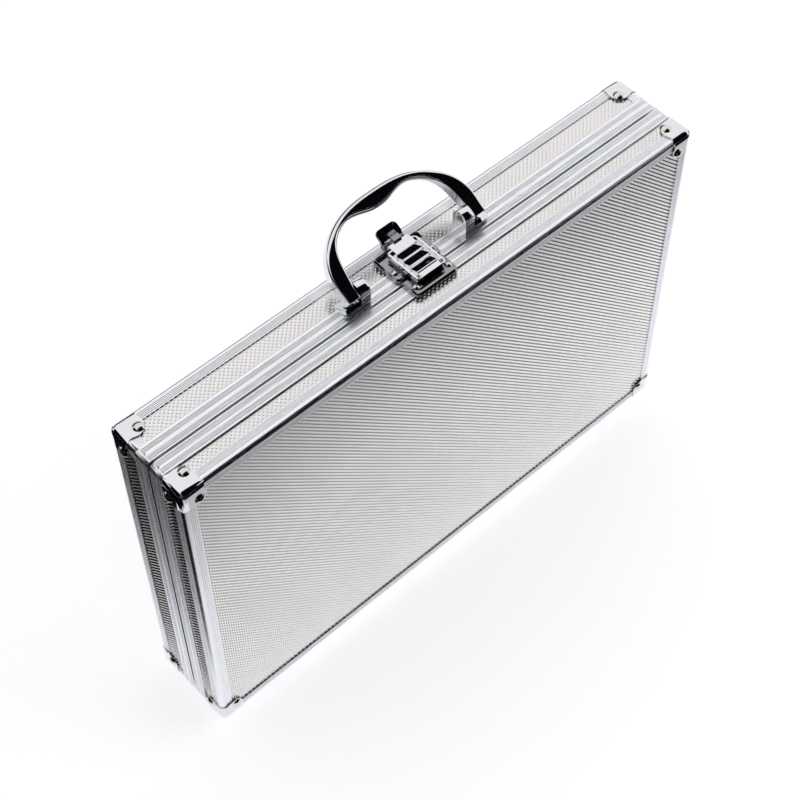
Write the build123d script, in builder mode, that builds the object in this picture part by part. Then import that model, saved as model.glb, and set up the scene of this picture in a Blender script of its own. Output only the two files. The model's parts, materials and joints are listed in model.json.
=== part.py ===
"""Aluminium-framed poker chip case, standing on its hinge edge with the handle on top.

X runs left to right seen from the front, +Y to the back, +Z up, millimetres. While the pieces are
built y = 0 is the middle of the seam between the two half shells and z = 0 is the floor. Every
piece is moved by the same shift when it is written, so that the origin is under the middle of the
case's bounding box.
"""

from build123d import *
from math import atan2, copysign, cos, pi, radians, sin, sqrt
import os

os.makedirs("parts", exist_ok=True)

# ---------------------------------------------------------------- driving dimensions
# overall, measured over the corner caps
case_length = 385.0
case_height = 256.0
base_depth = 33.3
lid_depth = 26.8
seam_gap = 1.7
foot_height = 7.5

# sheet and board
cap_wall = 0.8
trim_wall = 1.0
trim_leg = 8.0
trim_round = 2.5
rim_wall = 1.5
rim_round = 4.5
board = 3.0
base_rim_width = 10.8
lid_rim_width = 9.5
rim_web = 1.5
flange_wall = 1.2
lid_flange_length = 7.0
tongue_wall = 1.2
tongue_length = 4.5
tongue_clearance = 0.5
groove_width = 0.55
groove_depth = 0.35
groove_pitch = 1.1
piece_gap = 0.2

# corner caps, measured along the cap from its corner
cap_reach = 17.8
cap_round = 4.5
lobe_radius = 7.4
lobe_centre = 8.8
flare_radius = 5.0
cap_rivet_place = 11.8
cap_rivet_head = 7.0
cap_rivet_rise = 1.7
cap_rivet_shank = 4.0
rivet_clearance = 0.05

# chip trays, accessory tray and lid pad
chip_diameter = 40.0
chip_thickness = 3.3
chips_per_row = 50
rows = 4
channel_clearance = 0.4
row_pitch = 42.5
tray_setback = 6.3
tray_margin = 1.6
tray_gap = 0.3
tray_top_gap = 2.2
card_length = 89.0
card_width = 64.0
card_pocket_depth = 18.5
dealer_diameter = 51.0
dealer_pocket_depth = 12.0
die_side = 16.0
dice = 5
pocket_clearance = 1.5
pad_thickness = 9.5
pad_gap = 0.6

# butt hinges under the seam
hinge_length = 60.0
hinge_place = 110.0
leaf_wall = 1.2
leaf_width = 10.0
barrel_radius = 2.4
hinge_pin_radius = 1.25
hinge_pin_clearance = 0.05
knuckles = 5
knuckle_gap = 0.3
hinge_rivets = 3
hinge_rivet_head = 4.6
hinge_rivet_rise = 1.0
hinge_rivet_shank = 2.6
hinge_rivet_margin = 0.6

# push-in rubber feet
rubber_foot_radius = 4.0
rubber_foot_place = 150.0
rubber_foot_taper = 0.6
rubber_foot_edge = 0.6
rubber_foot_stem = 1.5

# handle
handle_half_span = 46.9
leg_width = 8.4
leg_thickness = 8.4
handle_foot_toe = 3.2
handle_foot_width = 10.8
handle_foot_setback = 2.3
handle_foot_wall = 2.7
handle_foot_round = 2.5
lug_width = 6.7
lug_radius = 5.5
pivot_rise = 9.5
leg_gap = 0.3
handle_lean = 60.0
handle_travel = 115.0
bow_height = 39.0
bow_power = 2.6
bow_wall = 5.0
belly_depth = 5.0
belly_half_length = 19.0
handle_pin_radius = 2.0
handle_pin_head = 3.4
handle_pin_rise = 1.2
handle_pin_clearance = 0.05
handle_pin_inset = 0.5
dog_radius = 3.7
dog_rise = 1.2
dog_clearance = 0.25
dog_play = 1.5
dog_half_angle = 45.0
handle_screw_radius = 1.6
handle_screw_head = 3.0
handle_screw_head_rise = 1.4
handle_screw_bite = 2.0
handle_screw_setback = 1.7
handle_screw_margin = 4.2
handle_screw_to_pin = 2.0

# latch
lid_plate_half = 15.4
lid_plate_length = 13.6
lid_plate_rise = 3.0
lid_plate_from_seam = 12.3
lid_plate_round = 3.0
lid_plate_bevel = 0.9
base_plate_half = 16.7
base_plate_setback = 1.1
base_plate_length = 21.9
base_plate_rise = 3.0
base_plate_corner = 1.6
base_plate_bevel = 0.9
latch_rivet_head = 4.6
latch_rivet_rise = 1.4
latch_rivet_shank = 2.6
lid_rivet_from_seam = 6.5
lid_rivet_x = 12.1
base_rivet_from_seam = 7.0
base_rivet_x = 14.0
hasp_half = 11.0
hasp_front = 8.15
hasp_rear = 18.65
hasp_low = 4.7
hasp_floor = 1.2
hasp_high = 8.0
hasp_wall = 1.5
hasp_round = 3.0
hasp_bevel = 0.4
field_half = 7.3
hasp_pivot_inset = 2.8
hasp_skirt_half = 9.3
hasp_skirt_low = 3.4
hasp_front_wall = 1.2
hasp_ditch = 0.4
hasp_strip = 0.8
hasp_front_bar = 4.4
hasp_heel_chamfer = 0.8
hasp_pivot_rise = 6.4
hasp_pin_radius = 0.8
hasp_pin_clearance = 0.05
pin_end_inset = 0.2
ear_width = 1.8
ear_radius = 1.3
ear_post_front = 0.6
lip_length = 8.0
lip_wall = 1.1
lip_overhang = 2.5
lip_bevel = 0.5
field_drop = 1.8
teeth = 3
crest_length = 0.6
tooth_step = 0.3
claw_length = 1.6
claw_depth = 2.6
claw_half = 5.0
claw_clearance = 0.4
claw_swing_room = 0.6
tab_half = 7.5
tab_pivot_from_lip = 3.8
tab_pivot_rise = 4.4
tab_pin_radius = 0.9
tab_pin_clearance = 0.05
tab_barrel_radius = 1.9
tab_knuckle_half = 3.0
tab_ear_width = 2.0
tab_knuckle_gap = 0.3
tab_ear_foot = 0.4
tab_ear_root = 2.0
tab_wall_setback = 0.9
tab_wall_gap = 0.25
nose_overlap = 0.8
nose_wall = 1.2
nose_gap = 0.3
thumb_length = 6.5
thumb_flare = 0.1
thumb_lean = 55.0
thumb_wall = 1.5
nose_half = 2.8
thumb_round = 3.0
spring_wire = 0.6
spring_gap = 0.2

# ---------------------------------------------------------------- planes worked out from them
cap_x = case_length / 2
cap_bottom = foot_height
cap_top = foot_height + case_height
base_front = seam_gap / 2
cap_back = base_front + base_depth
lid_back = -seam_gap / 2
cap_front = lid_back - lid_depth
middle_z = (cap_bottom + cap_top) / 2

trim_inset = cap_wall
board_inset = cap_wall + trim_wall
inner_inset = board_inset + board
rim_inset = board_inset - rim_wall
board_x = cap_x - board_inset
board_top = cap_top - board_inset
board_bottom = cap_bottom + board_inset
board_back = cap_back - board_inset
board_front = cap_front + board_inset
inner_x = cap_x - inner_inset
inner_top = cap_top - inner_inset
inner_bottom = cap_bottom + inner_inset
inner_back = cap_back - inner_inset
inner_front = cap_front + inner_inset
rim_top = cap_top - rim_inset
rim_bottom = cap_bottom + rim_inset
tray_front = base_front + tray_setback

bodies = {}


def keep(name, piece):
    """Remember a finished piece under its node's name."""
    bodies[name] = piece


# ---------------------------------------------------------------- shared shapes
def block(x, y, z):
    """One rectangular piece between pairs of limits along each axis."""
    with BuildPart() as slab:
        with BuildSketch(Plane.XY.offset(z[0])):
            with Locations(((x[0] + x[1]) / 2, (y[0] + y[1]) / 2)):
                Rectangle(x[1] - x[0], y[1] - y[0])
        extrude(amount=z[1] - z[0])
    return slab.part


def band(y_low, y_high, outer_inset, within, corner=0.0, mode=Mode.ADD):
    """A ring round the case between two depths; insets are taken from the corner caps' planes."""
    with BuildSketch(Plane.XZ.offset(-y_high)) as ring:
        with Locations((0, middle_z)):
            outer = (case_length - 2 * outer_inset, case_height - 2 * outer_inset)
            if corner > 0:
                RectangleRounded(*outer, corner)
            else:
                Rectangle(*outer)
            Rectangle(case_length - 2 * within, case_height - 2 * within, mode=Mode.SUBTRACT)
    extrude(ring.sketch, amount=y_high - y_low, mode=mode)


def rivet(head_radius, rise, shank_radius, length):
    """A domed rivet along +Z: its head sits on z = 0 and its shank goes down from it."""
    sphere = (head_radius**2 + rise**2) / (2 * rise)
    with BuildPart() as one:
        with BuildSketch(Plane.XZ):
            with BuildLine():
                Line((0, -length), (shank_radius, -length))
                Line((shank_radius, -length), (shank_radius, 0))
                Line((shank_radius, 0), (head_radius, 0))
                half = atan2(head_radius, sphere - rise) / 2
                ThreePointArc(
                    (head_radius, 0),
                    (sphere * sin(half), rise - sphere + sphere * cos(half)),
                    (0, rise),
                )
                Line((0, rise), (0, -length))
            make_face()
        revolve(axis=Axis.Z)
    return one.part


def placed(piece, plane):
    """A copy of a piece moved from the XY plane to another plane."""
    return plane.location * piece


def group(pieces):
    """Several separate solids that share one node."""
    return Compound([solid for piece in pieces for solid in piece.solids()])


def drilled(piece, cutters):
    """A piece with the given solids cut out of it."""
    for cutter in cutters:
        piece = piece - cutter
    return piece


# ---------------------------------------------------------------- where the rivets go
def cap_corners(back):
    """The four corners of one half, as signs of x, y and z."""
    return [(sx, 1 if back else -1, sz) for sx in (-1, 1) for sz in (-1, 1)]


def corner_point(sx, sy, sz):
    """The sharp corner that a cap stands round."""
    return Vector(sx * cap_x, cap_back if sy > 0 else cap_front, cap_top if sz > 0 else cap_bottom)


def cap_rivet_planes(sx, sy, sz):
    """Planes on the cap's three faces at its rivets, each facing outwards."""
    corner = corner_point(sx, sy, sz)
    inward = Vector(-sx, -sy, -sz) * cap_rivet_place
    side = corner + Vector(0, inward.Y, inward.Z)
    face = corner + Vector(inward.X, 0, inward.Z)
    edge = corner + Vector(inward.X, inward.Y, 0)
    return [
        Plane(side, x_dir=(0, 1, 0), z_dir=(sx, 0, 0)),
        Plane(face, x_dir=(1, 0, 0), z_dir=(0, sy, 0)),
        Plane(edge, x_dir=(1, 0, 0), z_dir=(0, 0, sz)),
    ]


def all_cap_rivet_planes(back):
    return [plane for corner in cap_corners(back) for plane in cap_rivet_planes(*corner)]


cap_rivet_length = cap_wall + trim_wall + board
with BuildPart() as cap_hole_form:
    Cylinder(cap_rivet_shank / 2 + rivet_clearance, 4 * cap_rivet_length)
cap_hole = cap_hole_form.part
cap_rivet = rivet(cap_rivet_head / 2, cap_rivet_rise, cap_rivet_shank / 2, cap_rivet_length)
cap_holes = {back: [placed(cap_hole, p) for p in all_cap_rivet_planes(back)] for back in (True, False)}

# hinge rivets go up through the leaf, the closure frame and the bottom board
leaf_low = rim_bottom - leaf_wall
hinge_rivet_length = leaf_wall + rim_wall + board
hinge_rivet_xs = [
    side * hinge_place + (i - (hinge_rivets - 1) / 2) * hinge_length / hinge_rivets
    for side in (-1, 1)
    for i in range(hinge_rivets)
]
hinge_rivet_from_seam = base_front + leaf_width - hinge_rivet_head / 2 - hinge_rivet_margin


def hinge_rivet_planes(sy):
    return [
        Plane((x, sy * hinge_rivet_from_seam, leaf_low), x_dir=(1, 0, 0), z_dir=(0, 0, -1))
        for x in hinge_rivet_xs
    ]


def through(radius, planes, length):
    """Cylinders for cutting holes, centred on the given planes."""
    with BuildPart() as form:
        Cylinder(radius, length)
    return [placed(form.part, plane) for plane in planes]


# latch rivets and handle screws come through the top
lid_latch_y = lid_back - lid_rivet_from_seam
base_latch_y = base_front + base_rivet_from_seam


def latch_rivet_planes(half_spacing, y, rise):
    return [Plane((s * half_spacing, y, rim_top + rise), z_dir=(0, 0, 1)) for s in (-1, 1)]


handle_y = base_front + handle_foot_setback + handle_foot_width / 2
foot_inner = handle_half_span - leg_width / 2 - leg_gap - lug_width
foot_outer = handle_half_span + leg_width / 2 + handle_foot_toe
handle_screw_y = handle_y + handle_screw_setback
handle_screw_xs = (foot_inner + lug_width / 2, foot_outer - handle_screw_margin)
handle_screw_planes = [
    Plane((s * x, handle_screw_y, inner_top), z_dir=(0, 0, -1)) for s in (-1, 1) for x in handle_screw_xs
]

# each foot stands on bare panel, half way between the closure frame and the edge trim
base_foot_y = (base_front + base_rim_width + cap_back - trim_inset - trim_leg) / 2
lid_foot_y = (lid_back - lid_rim_width + cap_front + trim_inset + trim_leg) / 2
foot_planes = {
    sy: [Plane((s * rubber_foot_place, y, 0)) for s in (-1, 1)]
    for sy, y in ((1, base_foot_y), (-1, lid_foot_y))
}

tall = 40.0
clear = rivet_clearance
top_holes = {
    1: through(latch_rivet_shank / 2 + clear, latch_rivet_planes(base_rivet_x, base_latch_y, 0), tall)
    + through(handle_screw_radius + clear, handle_screw_planes, tall),
    -1: through(latch_rivet_shank / 2 + clear, latch_rivet_planes(lid_rivet_x, lid_latch_y, 0), tall),
}
bottom_holes = {
    sy: through(hinge_rivet_shank / 2 + clear, hinge_rivet_planes(sy), tall)
    + through(rubber_foot_stem + clear, foot_planes[sy], tall)
    for sy in (1, -1)
}

# ---------------------------------------------------------------- laminated panels
for half, sy in (("base", 1), ("lid", -1)):
    web_end = base_front + rim_web if sy > 0 else lid_back - rim_web
    inner_face = inner_back if sy > 0 else inner_front
    outer_face = board_back if sy > 0 else board_front
    depth = sorted((web_end, inner_face))
    holes = cap_holes[sy > 0]
    broad = block((-board_x, board_x), sorted((inner_face, outer_face)), (board_bottom, board_top))
    with BuildPart() as broad_panel:
        add(broad)
        fillet(broad_panel.edges().filter_by(Axis.Y), trim_round - trim_wall / 2)
    keep(f"{half}_panel_{'back' if sy > 0 else 'front'}", drilled(broad_panel.part, holes))
    top = block((-board_x, board_x), depth, (inner_top, board_top))
    keep(f"{half}_panel_top", drilled(top, holes + top_holes[sy]))
    bottom = block((-board_x, board_x), depth, (board_bottom, inner_bottom))
    keep(f"{half}_panel_bottom", drilled(bottom, holes + bottom_holes[sy]))
    for side, sx in (("left", -1), ("right", 1)):
        x = sorted((sx * inner_x, sx * board_x))
        keep(f"{half}_panel_{side}", drilled(block(x, depth, (inner_bottom, inner_top)), holes))


# ---------------------------------------------------------------- edge trims and corner posts
def angle_section(plane, sx, sy, length):
    """A grooved angle profile: its corner is at the plane's origin and its legs run to -sx, -sy."""
    grooves = int((trim_leg - trim_round - groove_width) / groove_pitch)
    with BuildPart() as angle:
        with BuildSketch(plane):
            with Locations((-sx * trim_leg / 2, -sy * trim_leg / 2)):
                square = Rectangle(trim_leg, trim_leg)
            outer = square.vertices().sort_by_distance(Vertex(0, 0, 0))[0:1]
            fillet(outer, trim_round)
            inner = (trim_leg + trim_wall) / 2
            with Locations((-sx * inner, -sy * inner)):
                Rectangle(trim_leg - trim_wall, trim_leg - trim_wall, mode=Mode.SUBTRACT)
            for i in range(grooves):
                run = trim_leg - groove_width * 1.6 - i * groove_pitch
                with Locations((-sx * run, 0), (0, -sy * run)):
                    Rectangle(groove_width, groove_width, mode=Mode.SUBTRACT)
        extrude(amount=length)
    return angle.part


def trim_pieces(sy):
    """Straight trims round the outer face of one half, and the posts in its four corners."""
    face = cap_back - trim_inset if sy > 0 else cap_front + trim_inset
    x_edge = cap_x - trim_inset
    end = trim_leg + piece_gap
    trims = {}
    for name, sz in (("bottom", -1), ("top", 1)):
        z = cap_top - trim_inset if sz > 0 else cap_bottom + trim_inset
        plane = Plane((-x_edge + end, face, z), x_dir=(0, 1, 0), z_dir=(1, 0, 0))
        trims[name] = angle_section(plane, sy, sz, 2 * (x_edge - end))
    for name, sx in (("left", -1), ("right", 1)):
        plane = Plane((sx * x_edge, face, cap_bottom + trim_inset + end), x_dir=(1, 0, 0), z_dir=(0, 0, 1))
        height = case_height - 2 * (trim_inset + end)
        trims[name] = angle_section(plane, sx, sy, height)
    rim_edge = base_front + base_rim_width if sy > 0 else lid_back - lid_rim_width
    start = min(rim_edge + sy * piece_gap, face - sy * end)
    length = abs(face - sy * end - rim_edge - sy * piece_gap)
    posts = []
    for sx in (-1, 1):
        for sz in (-1, 1):
            z = cap_top - trim_inset if sz > 0 else cap_bottom + trim_inset
            plane = Plane((sx * x_edge, start + length, z), x_dir=(1, 0, 0), z_dir=(0, -1, 0))
            posts.append(angle_section(plane, sx, sz, length))
    return trims, posts


for half, sy in (("base", 1), ("lid", -1)):
    trims, posts = trim_pieces(sy)
    for side, trim in trims.items():
        keep(f"{half}_trim_{side}", trim)
    keep(f"{half}_corner_posts", group(posts))


# ---------------------------------------------------------------- closure frames
def rim_grooves(edge, sy, width):
    """Two runs of fine grooves round a closure frame's band, with a plain strip between them."""
    per_run = int((width / 2 - 1.2) / groove_pitch)
    for run in (0, 1):
        for i in range(per_run):
            middle = edge + sy * (run * width / 2 + 1.2 + i * groove_pitch)
            band(
                middle - groove_width / 2,
                middle + groove_width / 2,
                rim_inset - 1,
                rim_inset + groove_depth,
                mode=Mode.SUBTRACT,
            )


rim_rest = board_inset + board + flange_wall
with BuildPart() as base_frame:
    band(base_front, base_front + base_rim_width, rim_inset, board_inset, rim_round)
    band(base_front, base_front + rim_web, board_inset, rim_rest)
    band(base_front + rim_web, tray_front - tray_gap, inner_inset, rim_rest)
    rim_grooves(base_front, 1, base_rim_width)
keep("base_closure_frame", drilled(base_frame.part, top_holes[1] + bottom_holes[1]))

tongue_inset = rim_rest + tongue_clearance
with BuildPart() as lid_frame:
    band(lid_back - lid_rim_width, lid_back, rim_inset, board_inset, rim_round)
    band(lid_back - rim_web, lid_back, board_inset, tongue_inset + tongue_wall)
    band(lid_back - rim_web - lid_flange_length, lid_back - rim_web, inner_inset, rim_rest)
    band(lid_back, lid_back + tongue_length, tongue_inset, tongue_inset + tongue_wall)
    rim_grooves(lid_back, -1, lid_rim_width)
keep("lid_closure_frame", drilled(lid_frame.part, top_holes[-1] + bottom_holes[-1]))


# ---------------------------------------------------------------- corner caps
def cap_outline():
    """One face of a cap: its corner is at 0, 0 and its three-lobed edge is tangent arc to arc."""
    cusp = Vector(cap_reach, 0)
    lobe = Vector(lobe_centre, lobe_centre)
    span = (cusp - lobe).length
    reach = lobe_radius + flare_radius
    along = (reach**2 - flare_radius**2 + span**2) / (2 * span)
    off = sqrt(reach**2 - along**2)
    run = (cusp - lobe).normalized()
    flare = lobe + run * along + Vector(-run.Y, run.X) * off
    touch = lobe + (flare - lobe).normalized() * lobe_radius
    inmost = flare + ((cusp + touch) * 0.5 - flare).normalized() * flare_radius
    tip = lobe + Vector(1, 1).normalized() * lobe_radius
    with BuildLine() as outline:
        Line((0, 0), cusp)
        ThreePointArc(cusp, inmost, touch)
        ThreePointArc(touch, tip, Vector(touch.Y, touch.X))
        ThreePointArc(Vector(touch.Y, touch.X), Vector(inmost.Y, inmost.X), Vector(0, cap_reach))
        Line((0, cap_reach), (0, 0))
    return outline.line


# canonical cap in the corner of the +X +Y +Z octant, its body running the same way
blank = cap_reach + 6
with BuildPart() as cap_form:
    Box(blank, blank, blank, align=(Align.MIN,) * 3)
    near = [e for e in cap_form.edges() if min(e.center().X + e.center().Y, e.center().Y + e.center().Z,
                                                e.center().X + e.center().Z) < 0.01]
    fillet(near, cap_round)
    with BuildPart(mode=Mode.PRIVATE) as hollow:
        with Locations((cap_wall, cap_wall, cap_wall)):
            Box(blank, blank, blank, align=(Align.MIN,) * 3)
        low = [e for e in hollow.edges() if min(e.center().X + e.center().Y, e.center().Y + e.center().Z,
                                                 e.center().X + e.center().Z) < 2 * cap_wall + 0.01]
        fillet(low, trim_round)
    add(hollow.part, mode=Mode.SUBTRACT)
    for side in (
        Plane.XY,
        Plane((0, 0, 0), x_dir=(0, 1, 0), z_dir=(1, 0, 0)),
        Plane((0, 0, 0), x_dir=(0, 0, 1), z_dir=(0, 1, 0)),
    ):
        with BuildSketch(side):
            Rectangle(blank, blank, align=(Align.MIN, Align.MIN))
            make_face(cap_outline().edges(), mode=Mode.SUBTRACT)
        extrude(amount=cap_wall + trim_round, mode=Mode.SUBTRACT)
cap_blank = cap_form.part

for half, back in (("base", True), ("lid", False)):
    for sx, sy, sz in cap_corners(back):
        cap = cap_blank
        if sx > 0:
            cap = mirror(cap, about=Plane.YZ)
        if sy > 0:
            cap = mirror(cap, about=Plane.XZ)
        if sz > 0:
            cap = mirror(cap, about=Plane.XY)
        cap = Pos(corner_point(sx, sy, sz)) * cap
        name = f"{half}_cap_{'top' if sz > 0 else 'bottom'}_{'right' if sx > 0 else 'left'}"
        keep(name, drilled(cap, [placed(cap_hole, p) for p in cap_rivet_planes(sx, sy, sz)]))
    keep(f"{half}_cap_rivets", group(placed(cap_rivet, p) for p in all_cap_rivet_planes(back)))

# ---------------------------------------------------------------- trays and pad
channel_radius = chip_diameter / 2 + channel_clearance
channel_length = chips_per_row * chip_thickness + 2 * channel_clearance
chip_block_top = inner_top - tray_top_gap
chip_block_bottom = chip_block_top - rows * row_pitch - 2 * tray_margin
tray_back = inner_back - tray_gap
row_zs = [chip_block_bottom + tray_margin + row_pitch * (i + 0.5) for i in range(rows)]
tray_x = (tray_gap / 2, inner_x - tray_gap)
tray_middle = sum(tray_x) / 2
for side, sx in (("left", -1), ("right", 1)):
    with BuildPart() as tray:
        add(block(sorted((sx * tray_x[0], sx * tray_x[1])), (tray_front, tray_back),
                  (chip_block_bottom, chip_block_top)))
        start = sx * tray_middle - channel_length / 2
        with BuildSketch(Plane.YZ.offset(start)):
            with Locations([(tray_front, z) for z in row_zs]):
                Circle(channel_radius)
        extrude(amount=channel_length, mode=Mode.SUBTRACT)
    keep(f"chip_tray_{side}", tray.part)

box_x = inner_x - tray_gap
box_z = (inner_bottom + tray_gap, chip_block_bottom - tray_gap)
box_mid = sum(box_z) / 2
pocket_card = (card_length + pocket_clearance, card_width + pocket_clearance)
pocket_dice = (dice * die_side + 2 * pocket_clearance, die_side + pocket_clearance)
widths = [pocket_card[0], dealer_diameter + pocket_clearance, pocket_dice[0], pocket_card[0]]
spacing = (2 * box_x - sum(widths)) / (len(widths) + 1)
lefts = [-box_x + spacing * (i + 1) + sum(widths[:i]) for i in range(len(widths))]
centres = [left + width / 2 for left, width in zip(lefts, widths)]
with BuildPart() as accessory_tray:
    add(block((-box_x, box_x), (tray_front, tray_back), box_z))
    with BuildSketch(Plane.XZ.offset(-tray_front)):
        with Locations((centres[0], box_mid), (centres[3], box_mid)):
            RectangleRounded(*pocket_card, 3)
    extrude(amount=-card_pocket_depth, mode=Mode.SUBTRACT)
    with BuildSketch(Plane.XZ.offset(-tray_front)):
        with Locations((centres[1], box_mid)):
            Circle(widths[1] / 2)
    extrude(amount=-dealer_pocket_depth, mode=Mode.SUBTRACT)
    with BuildSketch(Plane.XZ.offset(-tray_front)):
        with Locations((centres[2], box_mid)):
            RectangleRounded(*pocket_dice, 2)
    extrude(amount=-die_side, mode=Mode.SUBTRACT)
keep("accessory_tray", accessory_tray.part)

pad_x = inner_x - pad_gap
keep("lid_pad", block((-pad_x, pad_x), (inner_front, inner_front + pad_thickness),
                      (inner_bottom + pad_gap, inner_top - pad_gap)))

# ---------------------------------------------------------------- hinges
hinge_z = leaf_low - barrel_radius + leaf_wall
knuckle = hinge_length / knuckles


def leaf(sx, sy):
    """One hinge leaf with its own knuckles round the shared pin."""
    x0 = sx * hinge_place - hinge_length / 2
    mine = [i for i in range(knuckles) if (i % 2 == 0) == (sy > 0)]
    others = [i for i in range(knuckles) if i not in mine]
    with BuildPart() as one:
        reach = sorted((0, sy * (base_front + leaf_width)))
        add(block((x0, x0 + hinge_length), reach, (leaf_low, rim_bottom)))
        with BuildSketch(Plane.YZ.offset(x0)):
            with Locations((0, hinge_z)):
                Circle(barrel_radius)
        extrude(amount=hinge_length)
        for i in others:
            inner = (x0 + i * knuckle - knuckle_gap / 2, x0 + (i + 1) * knuckle + knuckle_gap / 2)
            relief = barrel_radius + knuckle_gap
            add(block(inner, (-relief, relief), (hinge_z - relief, rim_bottom)), mode=Mode.SUBTRACT)
        other_side = sorted((0, -sy * leaf_width))
        lifted = (hinge_z + sqrt(barrel_radius**2 - base_front**2), rim_bottom)
        add(block((x0, x0 + hinge_length), other_side, lifted), mode=Mode.SUBTRACT)
        with BuildSketch(Plane.YZ.offset(x0)):
            with Locations((0, hinge_z)):
                Circle(hinge_pin_radius + (hinge_pin_clearance if sy < 0 else rivet_clearance))
        extrude(amount=hinge_length, mode=Mode.SUBTRACT)
    holes = through(hinge_rivet_shank / 2 + clear, hinge_rivet_planes(sy), tall)
    return drilled(one.part, holes)


for side, sx in (("left", -1), ("right", 1)):
    keep(f"base_hinge_leaf_{side}", leaf(sx, 1))
    keep(f"lid_hinge_leaf_{side}", leaf(sx, -1))
    with BuildPart() as pin:
        with BuildSketch(Plane.YZ.offset(sx * hinge_place - hinge_length / 2)):
            with Locations((0, hinge_z)):
                Circle(hinge_pin_radius)
        extrude(amount=hinge_length)
    keep(f"hinge_pin_{side}", pin.part)
hinge_rivet = rivet(hinge_rivet_head / 2, hinge_rivet_rise, hinge_rivet_shank / 2, hinge_rivet_length)
keep("base_hinge_rivets", group(placed(hinge_rivet, p) for p in hinge_rivet_planes(1)))
keep("lid_hinge_rivets", group(placed(hinge_rivet, p) for p in hinge_rivet_planes(-1)))

# ---------------------------------------------------------------- rubber feet
with BuildPart() as rubber_foot:
    standing = rubber_foot_radius - rubber_foot_taper
    Cone(standing, rubber_foot_radius, board_bottom, align=(Align.CENTER, Align.CENTER, Align.MIN))
    fillet(rubber_foot.edges().sort_by(Axis.Z)[0], rubber_foot_edge)
    with Locations((0, 0, board_bottom)):
        Cylinder(rubber_foot_stem, board, align=(Align.CENTER, Align.CENTER, Align.MIN))
keep("base_rubber_feet", group(placed(rubber_foot.part, p) for p in foot_planes[1]))
keep("lid_rubber_feet", group(placed(rubber_foot.part, p) for p in foot_planes[-1]))

# ---------------------------------------------------------------- handle
pivot_z = rim_top + pivot_rise
lug_x = (foot_inner, foot_inner + lug_width)
leg_x = (handle_half_span - leg_width / 2, handle_half_span + leg_width / 2)
foot_y = (handle_y - handle_foot_width / 2, handle_y + handle_foot_width / 2)
rest_angle = 90.0 - handle_lean


def sector(x, radius, inner_radius, start, sweep, depth, mode):
    """A ring sector round the handle's pivot, angles from +Y towards +Z, pushed along +X."""
    with BuildSketch(Plane.YZ.offset(x)) as ring:
        with BuildLine():
            outer = CenterArc((handle_y, pivot_z), radius, start, sweep)
            inner = CenterArc((handle_y, pivot_z), inner_radius, start, sweep)
            Line(outer @ 0, inner @ 0)
            Line(outer @ 1, inner @ 1)
        make_face()
    extrude(ring.sketch, amount=depth, mode=mode)


with BuildPart() as foot_form:
    add(block((foot_inner, foot_outer), foot_y, (rim_top, rim_top + handle_foot_wall)))
    fillet(foot_form.edges().filter_by(Axis.Z).sort_by(Axis.X)[2:], handle_foot_round)
    over_panel = base_front + base_rim_width + piece_gap
    add(block((foot_inner, foot_outer - handle_foot_round), (over_panel, foot_y[1]), (board_top, rim_top)))
    with BuildSketch(Plane.YZ.offset(lug_x[0])):
        with Locations((handle_y, pivot_z)):
            Circle(lug_radius)
        with Locations((handle_y, (rim_top + pivot_z) / 2)):
            Rectangle(2 * lug_radius, pivot_rise)
    extrude(amount=lug_width)
    sector(
        lug_x[1],
        dog_radius,
        handle_pin_radius,
        rest_angle + handle_travel + dog_half_angle + dog_play / 2,
        360 - handle_travel - 2 * dog_half_angle - dog_play,
        dog_rise,
        Mode.ADD,
    )
    with BuildSketch(Plane.YZ.offset(lug_x[0])):
        with Locations((handle_y, pivot_z)):
            Circle(handle_pin_radius + handle_pin_clearance)
    extrude(amount=lug_width + dog_rise, mode=Mode.SUBTRACT)
bites = (pivot_rise - handle_pin_radius - handle_screw_to_pin, handle_screw_bite)
screw_length = [board + rim_wall + bite for bite in bites]
for x, length in zip(handle_screw_xs, screw_length):
    with BuildPart() as blind:
        with Locations((x, handle_screw_y, inner_top)):
            Cylinder(handle_screw_radius + clear, length + clear, align=(Align.CENTER, Align.CENTER, Align.MIN))
    foot_form.part = foot_form.part - blind.part
keep("handle_foot_right", foot_form.part)
keep("handle_foot_left", mirror(foot_form.part, about=Plane.YZ))


def arch(half_span, height, steps=8):
    """Points of a superellipse arch over the pivot axis, from the right foot to the left."""
    points = []
    for i in range(steps + 1):
        turn = pi * i / steps
        x = copysign(abs(cos(turn)) ** (2 / bow_power), cos(turn)) if i * 2 != steps else 0.0
        points.append((half_span * x, height * sin(turn) ** (2 / bow_power) if 0 < i < steps else 0.0))
    return points


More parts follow.
